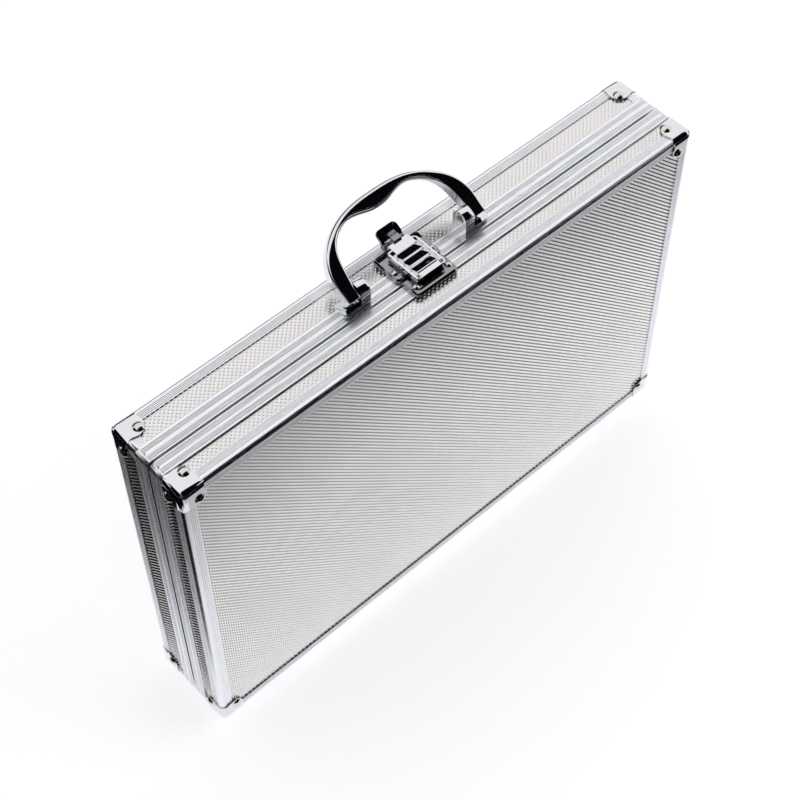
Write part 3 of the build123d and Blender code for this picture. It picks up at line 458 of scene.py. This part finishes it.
def window(half, side):
    """The rectangle of bare panel on one side of a half: middle, across, up, width, height."""
    sign = 1 if half == "base" else -1
    face = "back" if half == "base" else "front"
    low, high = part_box(f"{half}_panel_{face if side == 'face' else side}")
    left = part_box(f"{half}_trim_left")[1].x
    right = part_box(f"{half}_trim_right")[0].x
    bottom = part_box(f"{half}_trim_bottom")[1].z
    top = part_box(f"{half}_trim_top")[0].z
    frame_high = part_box(f"{half}_closure_frame")[1]
    trim_low, trim_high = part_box(f"{half}_trim_top")
    depth = (frame_high.y, trim_low.y) if sign > 0 else (trim_high.y, LID_BAND_EDGE)
    x_axis, y_axis, z_axis = Vector((1, 0, 0)), Vector((0, 1, 0)), Vector((0, 0, 1))
    deep = depth[1] - depth[0]
    mid_y = sum(depth) / 2
    mid_x, mid_z = (left + right) / 2, (bottom + top) / 2
    if side == "face":
        y = high.y if sign > 0 else low.y
        return Vector((mid_x, y, mid_z)), x_axis * -sign, z_axis, right - left, top - bottom
    if side == "top":
        return Vector((mid_x, mid_y, high.z)), x_axis, y_axis, right - left, deep
    if side == "bottom":
        return Vector((mid_x, mid_y, low.z)), x_axis * -1, y_axis, right - left, deep
    if side == "right":
        return Vector((high.x, mid_y, mid_z)), y_axis, z_axis, deep, top - bottom
    return Vector((low.x, mid_y, mid_z)), y_axis * -1, z_axis, deep, top - bottom


# the lid's band is as wide as its frame, less the tongue that reaches into the base
LID_BAND_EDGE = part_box("lid_closure_frame")[0].y


class CHIPCASE_OT_skins(bpy.types.Operator):
    """Embossed skins on all ten boards"""

    bl_idname = "chip_case.skins"
    bl_label = "Embossed skins"

    def execute(self, context):
        skin = settings().skin
        foil = skin_metal("embossed foil", skin.colour)
        board = bare_board("fibre board", (0.42, 0.33, 0.24))
        for half, face in (("base", "back"), ("lid", "front")):
            for side in ("face", "top", "bottom", "left", "right"):
                middle, across, up, width, height = window(half, side)
                node = f"{half}_panel_{face if side == 'face' else side}"
                name = f"{half}_skin_{face if side == 'face' else side}"
                wide, tall = width + 2 * SKIN_TUCK, height + 2 * SKIN_TUCK
                slim = skin.face_slim if side == "face" else 1.0
                data = studded_skin(name, middle, across, up, wide, tall, skin, slim)
                as_piece(name, data, foil, half)
                dress(node, board)
        return {"FINISHED"}


# ---------------------------------------------------------------- ribbed aluminium
RIB_ROUND = 0.0001


class CHIPCASE_OT_extrusions(bpy.types.Operator):
    """Satin finish on the edge trims, corner posts and closure frames"""

    bl_idname = "chip_case.extrusions"
    bl_label = "Ribbed aluminium"

    def execute(self, context):
        colour = settings().metal.extrusion
        grain = {axis: extrusion_metal(f"anodised along {axis}", colour, axis) for axis in "XYZ"}
        for half in ("base", "lid"):
            dress(f"{half}_closure_frame", grain["X"])
            dress(f"{half}_corner_posts", grain["Y"])
            for side, axis in (("top", "X"), ("bottom", "X"), ("left", "Z"), ("right", "Z")):
                dress(f"{half}_trim_{side}", grain[axis])
            for piece in [f"{half}_closure_frame", f"{half}_corner_posts"]:
                round_edges(NODES[piece], RIB_ROUND, 1)
        return {"FINISHED"}


# ---------------------------------------------------------------- corner caps and rivets
class CHIPCASE_OT_caps(bpy.types.Operator):
    """Chromed corner caps with their domed rivets"""

    bl_idname = "chip_case.caps"
    bl_label = "Corner caps"

    def execute(self, context):
        metal = settings().metal
        chrome = plated_metal("cap chrome", metal.chrome)
        nickel = plated_metal("rivet nickel", metal.rivet, 0.10, 0.22)
        for node in NODES:
            if "_cap_" in node and "rivets" not in node:
                dress(node, chrome)
                round_edges(NODES[node], metal.edge_round)
        for node in ("base_cap_rivets", "lid_cap_rivets", "base_hinge_rivets", "lid_hinge_rivets"):
            dress(node, nickel).data.shade_smooth()
        return {"FINISHED"}


# ---------------------------------------------------------------- hinges, feet and insides
class CHIPCASE_OT_hardware(bpy.types.Operator):
    """Hinges, rubber feet, pins and screws"""

    bl_idname = "chip_case.hardware"
    bl_label = "Hinges and feet"

    def execute(self, context):
        metal = settings().metal
        leaf = plated_metal("hinge plating", tint(metal.chrome, 0.95), 0.12, 0.24)
        steel = plain_steel("bright steel", (0.62, 0.62, 0.64))
        rubber = moulded_rubber("black rubber", (0.03, 0.03, 0.03))
        for node in NODES:
            if "hinge_leaf" in node:
                dress(node, leaf)
                round_edges(NODES[node], metal.edge_round)
        for node in ("hinge_pin_left", "hinge_pin_right", "handle_screws"):
            dress(node, steel)
        for node in ("base_rubber_feet", "lid_rubber_feet"):
            dress(node, rubber)
        return {"FINISHED"}


TRAY_ROUND = 0.0004
CRATE_WAVE = 0.024
CRATE_DEPTH = 0.0055
CRATE_EDGE_DROP = 0.0012
CRATE_STEPS = 8  # points along each wave


def egg_crate(name, low, high, wave, depth):
    """Convoluted foam: a block whose front is rows of rounded peaks and hollows."""
    cells_x = int((high.x - low.x) / (wave / CRATE_STEPS))
    cells_z = int((high.z - low.z) / (wave / CRATE_STEPS))
    points, faces = [], []
    for i in range(cells_x + 1):
        for j in range(cells_z + 1):
            x = low.x + (high.x - low.x) * i / cells_x
            z = low.z + (high.z - low.z) * j / cells_z
            edge = min(x - low.x, high.x - x, z - low.z, high.z - z)
            calm = min(1.0, edge / (wave / 2))
            swell = (1 + sin(2 * pi * x / wave) * sin(2 * pi * z / wave)) / 2
            hollow = depth * (1 - swell) * calm
            drop = CRATE_EDGE_DROP * (1 - calm) ** 2
            points.append((x, high.y - hollow - drop, z))
    across = cells_z + 1
    for i in range(cells_x):
        for j in range(cells_z):
            a = i * across + j
            faces.append((a, a + 1, a + across + 1, a + across))
    rim = [i * across for i in range(cells_x + 1)]
    rim += [cells_x * across + j for j in range(1, cells_z + 1)]
    rim += [i * across + cells_z for i in range(cells_x - 1, -1, -1)]
    rim += [j for j in range(cells_z - 1, 0, -1)]
    first = len(points)
    for k in rim:
        points.append((points[k][0], low.y, points[k][2]))
    count = len(rim)
    for k in range(count):
        following = (k + 1) % count
        faces.append((rim[k], first + k, first + following, rim[following]))
    faces.append(tuple(first + k for k in range(count))[::-1])
    return closed_mesh(name, points, faces)


class CHIPCASE_OT_insides(bpy.types.Operator):
    """Chip trays, accessory tray and the lid's convoluted foam"""

    bl_idname = "chip_case.insides"
    bl_label = "Trays and foam"

    def execute(self, context):
        flock = cell_foam("black flock", (0.022, 0.022, 0.025))
        for node in ("chip_tray_left", "chip_tray_right", "accessory_tray"):
            dress(node, flock)
            round_edges(NODES[node], TRAY_ROUND)
        foam = cell_foam("black foam", (0.03, 0.03, 0.033))
        low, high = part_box("lid_pad")
        data = egg_crate("lid_foam", low, high, CRATE_WAVE, CRATE_DEPTH)
        pad = as_piece("lid_foam", data, foam, "lid", ("lid_pad",))
        return {"FINISHED"}


# ---------------------------------------------------------------- handle
BOW_STEPS = 96
RING_POINTS = 40
LEG_SQUARE = 9.0  # section's superellipse exponent at the legs
GRIP_ROUND = 2.1  # and at the grip
GRIP_HALF_WIDTH = 0.0048
GRIP_HALF_THICKNESS = 0.0030
GRIP_FROM, GRIP_TO = 0.010, 0.033  # heights over the pivot axis between which the legs become grip
CROWN_FROM, CROWN_TO = 0.020, 0.036
CROWN_THINNER = 0.0004
STOUT_TO = 0.010
STOUT_WIDER, STOUT_THICKER = 0.0004, 0.0006
BELLY_DEPTH = 0.0056
BELLY_FROM, BELLY_TO = 0.001, 0.026  # distances from the middle over which the belly dies out
FOOT_ROUND = 1.5  # the feet's edges, as a multiple of the other plated edges


def smooth_step(value, start, end):
    """0 before start, 1 after end, easing in between."""
    t = max(0.0, min(1.0, (value - start) / (end - start)))
    return t * t * (3 - 2 * t)


def bow_stations(handle, foot_drop):
    """Centre points and outward directions along the bow, in its own plane, right to left."""
    stations = [(Vector((handle.half_span, -foot_drop * k / 3)), Vector((1, 0))) for k in (3, 2, 1)]
    for k in range(BOW_STEPS + 1):
        turn = pi * k / BOW_STEPS
        c, s = cos(turn), sin(turn)
        x = abs(c) ** (2 / handle.power) * (1 if c > 0 else -1)
        y = max(s, 0.0) ** (2 / handle.power)
        centre = Vector((handle.half_span * x, handle.height * y))
        lean = Vector(
            (
                abs(x) ** (handle.power - 1) * (1 if x > 0 else -1) / handle.half_span,
                y ** (handle.power - 1) / handle.height,
            )
        )
        stations.append((centre, lean.normalized()))
    stations += [(Vector((-p.x, p.y)), Vector((-1, 0))) for p, _ in stations[2::-1]]
    return stations


def handle_mesh(name, handle, pivot):
    """The cast bow: square legs that melt into a rounded grip with a swelling under its middle."""
    leg = handle.leg / 2
    lean = Matrix.Rotation(-handle.lean, 3, "X")
    points, faces, rings = [], [], []
    for centre, outward in bow_stations(handle, leg):
        grip = smooth_step(centre.y, GRIP_FROM, GRIP_TO)
        crown = smooth_step(centre.y, CROWN_FROM, CROWN_TO)
        stout = smooth_step(centre.y, 0.0, STOUT_TO) * (1 - grip)
        power = LEG_SQUARE + (GRIP_ROUND - LEG_SQUARE) * grip
        wide = leg + (GRIP_HALF_WIDTH - leg) * grip + STOUT_WIDER * stout
        thick = leg + (GRIP_HALF_THICKNESS - leg) * grip - CROWN_THINNER * crown
        thick += STOUT_THICKER * stout
        belly = BELLY_DEPTH * (1 - smooth_step(abs(centre.x), BELLY_FROM, BELLY_TO)) * crown
        ring = []
        for k in range(RING_POINTS):
            turn = 2 * pi * k / RING_POINTS
            c, s = cos(turn), sin(turn)
            w = wide * abs(c) ** (2 / power) * (1 if c > 0 else -1)
            reach = thick + (belly if s < 0 else 0.0)
            n = reach * abs(s) ** (2 / power) * (1 if s > 0 else -1)
            flat = centre + outward * n
            spot = lean @ Vector((flat.x, w, flat.y))
            ring.append(len(points))
            points.append(pivot + spot)
        rings.append(ring)
    for one, two in zip(rings, rings[1:]):
        for k in range(RING_POINTS):
            following = (k + 1) % RING_POINTS
            faces.append((one[k], one[following], two[following], two[k]))
    faces.append(tuple(rings[0]))
    faces.append(tuple(rings[-1][::-1]))
    return closed_mesh(name, points, faces)


class CHIPCASE_OT_handle(bpy.types.Operator):
    """The cast bow handle, its feet and pins"""

    bl_idname = "chip_case.handle"
    bl_label = "Handle"

    def execute(self, context):
        metal = settings().metal
        handle = settings().handle
        chrome = plated_metal("handle chrome", tint(metal.chrome, 0.98), 0.02, 0.08)
        data = handle_mesh("handle_casting", handle, joint_point("handle_swing"))
        bow = as_piece("handle_casting", data, chrome, "handle", ("handle_bow",))
        data.set_sharp_from_angle(angle=radians(40))
        bevel = bow.modifiers.new("edges", "BEVEL")
        bevel.width = metal.edge_round
        bevel.segments = 2
        bevel.limit_method = "ANGLE"
        bevel.angle_limit = radians(60)
        for node in ("handle_foot_left", "handle_foot_right"):
            dress(node, chrome)
            round_edges(NODES[node], metal.edge_round * FOOT_ROUND)
        dress("handle_pins", plain_steel("pin steel", (0.66, 0.66, 0.68)))
        return {"FINISHED"}


# ---------------------------------------------------------------- latch
PLATE_PAINTED_SHADE = 0.42  # painted shade: the two latch plates are tinted darker than the hasp, standing for the shade and dark reflections they get under it


class CHIPCASE_OT_latch(bpy.types.Operator):
    """Latch plates, hasp, spring tab and their rivets"""

    bl_idname = "chip_case.latch"
    bl_label = "Latch"

    def execute(self, context):
        metal = settings().metal
        bright = plated_metal("latch chrome", metal.chrome, 0.03, 0.09)
        dark = plated_metal("tab plating", (0.30, 0.31, 0.34), 0.05, 0.14)
        nickel = plated_metal("latch rivet nickel", metal.rivet, 0.06, 0.16)
        steel = plain_steel("spring steel", (0.55, 0.55, 0.57))
        # painted shade: the latch plates' chrome is tinted darker for the shade under the hasp
        plate = plated_metal("latch plate chrome, painted shade", tint(metal.chrome, PLATE_PAINTED_SHADE), 0.03, 0.09)
        finishes = {"lid_latch_plate": plate, "base_latch_plate": plate, "hasp": bright}
        for node, finish in finishes.items():
            dress(node, finish)
            round_edges(NODES[node], metal.edge_round)
        dress("latch_tab", dark)
        round_edges(NODES["latch_tab"], metal.edge_round)
        for node in ("lid_latch_rivets", "base_latch_rivets"):
            dress(node, nickel)
        for node in ("hasp_pin", "tab_pin", "tab_spring"):
            dress(node, steel)
        return {"FINISHED"}


# ---------------------------------------------------------------- studio
FLOOR_REACH = 6.0
FLOOR_PAINT = 0.82
FLOOR_GLOW = 0.54
KEY_WATTS = 6
TOP_WATTS = 2.4


def studio_white(name, brightness, glow):
    """Diffuse white paint that shows as paper white to the camera and in reflections."""
    material = bpy.data.materials.new(name)
    material.use_nodes = True
    nodes, links = material.node_tree.nodes, material.node_tree.links
    nodes.remove(nodes["Principled BSDF"])
    paint = nodes.new("ShaderNodeBsdfDiffuse")
    paint.inputs["Color"].default_value = (brightness, brightness, brightness, 1)
    light = nodes.new("ShaderNodeEmission")
    light.inputs["Strength"].default_value = glow
    both = nodes.new("ShaderNodeAddShader")
    links.new(paint.outputs[0], both.inputs[0])
    links.new(light.outputs[0], both.inputs[1])
    seen = seen_directly(nodes, links)
    mix = nodes.new("ShaderNodeMixShader")
    links.new(seen, mix.inputs[0])
    links.new(paint.outputs[0], mix.inputs[1])
    links.new(both.outputs[0], mix.inputs[2])
    links.new(mix.outputs[0], nodes["Material Output"].inputs["Surface"])
    return material


def seen_directly(nodes, links):
    """1 for camera rays and for what metal and glass show, 0 for light that falls on things."""
    path = nodes.new("ShaderNodeLightPath")
    first = nodes.new("ShaderNodeMath")
    first.operation = "MAXIMUM"
    links.new(path.outputs["Is Camera Ray"], first.inputs[0])
    links.new(path.outputs["Is Glossy Ray"], first.inputs[1])
    second = nodes.new("ShaderNodeMath")
    second.operation = "MAXIMUM"
    links.new(first.outputs[0], second.inputs[0])
    links.new(path.outputs["Is Transmission Ray"], second.inputs[1])
    return second.outputs[0]


def aimed(obj, place, target):
    """Put a lamp, card or camera somewhere, facing a point with its -Z side."""
    obj.location = place
    obj.rotation_euler = (Vector(target) - Vector(place)).to_track_quat("-Z", "Y").to_euler()
    bpy.context.scene.collection.objects.link(obj)


def softbox(name, place, target, size, power):
    """A soft lamp that lights the case without showing in its metal."""
    lamp = bpy.data.lights.new(name, "AREA")
    lamp.shape = "RECTANGLE"
    lamp.size, lamp.size_y = size
    lamp.energy = power
    holder = bpy.data.objects.new(name, lamp)
    holder.visible_glossy = False
    aimed(holder, place, target)


def black_card(name, corners, fade=None):
    """A card that only shows in reflections, as the dark side of a studio does.

    fade is an axis and two places along it: the card is clear at the first and black at the second.
    """
    cloth = bpy.data.materials.new(name)
    cloth.use_nodes = True
    nodes, links = cloth.node_tree.nodes, cloth.node_tree.links
    shader = nodes["Principled BSDF"]
    shader.inputs["Base Color"].default_value = (0.004, 0.004, 0.005, 1)
    shader.inputs["Roughness"].default_value = 1.0
    shader.inputs["Specular IOR Level"].default_value = 0.0
    if fade:
        axis, clear, dark = fade
        where = nodes.new("ShaderNodeTexCoord")
        split = nodes.new("ShaderNodeSeparateXYZ")
        ranged = nodes.new("ShaderNodeMapRange")
        ranged.inputs["From Min"].default_value = clear
        ranged.inputs["From Max"].default_value = dark
        links.new(where.outputs["Object"], split.inputs[0])
        links.new(split.outputs[axis], ranged.inputs["Value"])
        links.new(ranged.outputs["Result"], shader.inputs["Alpha"])
    data = sheet_mesh(name, corners, [tuple(range(len(corners)))])
    data.materials.append(cloth)
    card = bpy.data.objects.new(name, data)
    card.visible_camera = False
    card.visible_diffuse = False
    card.visible_shadow = False
    bpy.context.scene.collection.objects.link(card)


class CHIPCASE_OT_studio(bpy.types.Operator):
    """Floor, lamps, world and camera"""

    bl_idname = "chip_case.studio"
    bl_label = "Studio"

    def execute(self, context):
        scene = context.scene
        studio = settings().studio
        middle = (CAD_LOW + CAD_HIGH) / 2

        reach = FLOOR_REACH
        corners = [(-reach, -reach, 0), (reach, -reach, 0), (reach, reach, 0), (-reach, reach, 0)]
        data = sheet_mesh("floor", corners, [(0, 1, 2, 3)])
        data.materials.append(studio_white("floor paint", FLOOR_PAINT, FLOOR_GLOW))
        floor = bpy.data.objects.new("floor", data)
        scene.collection.objects.link(floor)

        world = bpy.data.worlds.new("studio")
        world.use_nodes = True
        nodes, links = world.node_tree.nodes, world.node_tree.links
        room = nodes["Background"]
        room.inputs["Color"].default_value = (0.96, 0.97, 1.0, 1)
        room.inputs["Strength"].default_value = studio.fill
        shown = nodes.new("ShaderNodeBackground")
        shown.inputs["Color"].default_value = (1, 1, 1, 1)
        shown.inputs["Strength"].default_value = 1.0
        mix = nodes.new("ShaderNodeMixShader")
        links.new(seen_directly(nodes, links), mix.inputs[0])
        links.new(room.outputs[0], mix.inputs[1])
        links.new(shown.outputs[0], mix.inputs[2])
        links.new(mix.outputs[0], nodes["World Output"].inputs["Surface"])
        scene.world = world

        softbox("key", middle + Vector((1.3, -1.0, 1.0)), middle, (1.2, 1.2), KEY_WATTS)
        softbox("top", middle + Vector((0.9, 0.9, 1.7)), middle, (1.8, 1.3), TOP_WATTS)
        black_card(
            "front wall",
            [(-1.7, -1.7, 0.02), (1.7, -1.7, 0.02), (1.6, -1.5, 1.3), (-1.6, -1.5, 1.3)],
        )
        black_card(
            "front sail",
            [(-1.6, -1.5, 1.3), (1.6, -1.5, 1.3), (1.2, -0.3, 1.9), (-1.2, -0.3, 1.9)],
        )
        black_card(
            "front floor",
            [(-1.6, -1.7, 0.004), (1.6, -1.7, 0.004), (1.5, -0.1, 0.004), (-1.6, -0.1, 0.004)],
            ("Y", -0.12, -0.27),
        )
        black_card(
            "left wall",
            [(-1.7, -1.6, 0.02), (-1.7, 1.4, 0.02), (-1.3, 1.4, 1.4), (-1.3, -1.4, 1.4)],
        )
        black_card(
            "left floor",
            [(-1.7, -1.1, 0.006), (-0.2, -0.1, 0.006), (-0.2, 0.8, 0.006), (-1.7, 1.6, 0.006)],
            ("X", -0.218, -0.265),
        )
        black_card(
            "rear wall",
            [(-1.0, 1.7, 0.25), (1.7, 1.7, 0.25), (1.7, 1.7, 1.1), (-1.0, 1.7, 1.1)],
        )

        camera = bpy.data.cameras.new("camera")
        camera.lens = studio.lens
        camera.sensor_width = 36.0
        camera.clip_start = 0.01
        holder = bpy.data.objects.new("camera", camera)
        scene.collection.objects.link(holder)
        a, e, r = studio.azimuth, studio.elevation, studio.roll
        back = Vector((sin(a) * cos(e), -cos(a) * cos(e), sin(e)))
        right = (-back).cross(Vector((0, 0, 1))).normalized()
        up = right.cross(-back)
        turned_right = right * cos(r) + up * sin(r)
        turned_up = up * cos(r) - right * sin(r)
        turn = Matrix((turned_right, turned_up, back)).transposed()
        holder.matrix_world = Matrix.Translation(Vector(studio.camera_place)) @ turn.to_4x4()
        scene.camera = holder
        scene.view_settings.view_transform = "Standard"
        return {"FINISHED"}


# ---------------------------------------------------------------- panel and registration
class ChipCaseSettings(bpy.types.PropertyGroup):
    """All settings of the chip case."""

    skin: PointerProperty(type=SkinSettings, name="Skin", description="Embossed skin")
    metal: PointerProperty(type=MetalSettings, name="Metal", description="Metals")
    handle: PointerProperty(type=HandleSettings, name="Handle", description="Handle")
    studio: PointerProperty(type=StudioSettings, name="Studio", description="Camera and light")


STEPS = (
    CHIPCASE_OT_studio,
    CHIPCASE_OT_skins,
    CHIPCASE_OT_extrusions,
    CHIPCASE_OT_caps,
    CHIPCASE_OT_hardware,
    CHIPCASE_OT_insides,
    CHIPCASE_OT_handle,
    CHIPCASE_OT_latch,
)


class CHIPCASE_PT_panel(bpy.types.Panel):
    """The case's pieces in the sidebar"""

    bl_idname = "CHIPCASE_PT_panel"
    bl_label = "Chip case"
    bl_space_type = "VIEW_3D"
    bl_region_type = "UI"
    bl_category = "Chip case"

    def draw(self, context):
        for step in STEPS:
            self.layout.operator(step.bl_idname)


CLASSES = (
    SkinSettings,
    MetalSettings,
    HandleSettings,
    StudioSettings,
    ChipCaseSettings,
    *STEPS,
    CHIPCASE_PT_panel,
)


def register():
    for cls in CLASSES:
        bpy.utils.register_class(cls)
    bpy.types.Scene.chip_case = PointerProperty(type=ChipCaseSettings)


def unregister():
    del bpy.types.Scene.chip_case
    for cls in reversed(CLASSES):
        bpy.utils.unregister_class(cls)


def main():
    register()
    for step in STEPS:
        group, name = step.bl_idname.split(".")
        getattr(getattr(bpy.ops, group), name)()


if __name__ == "__main__":
    main()
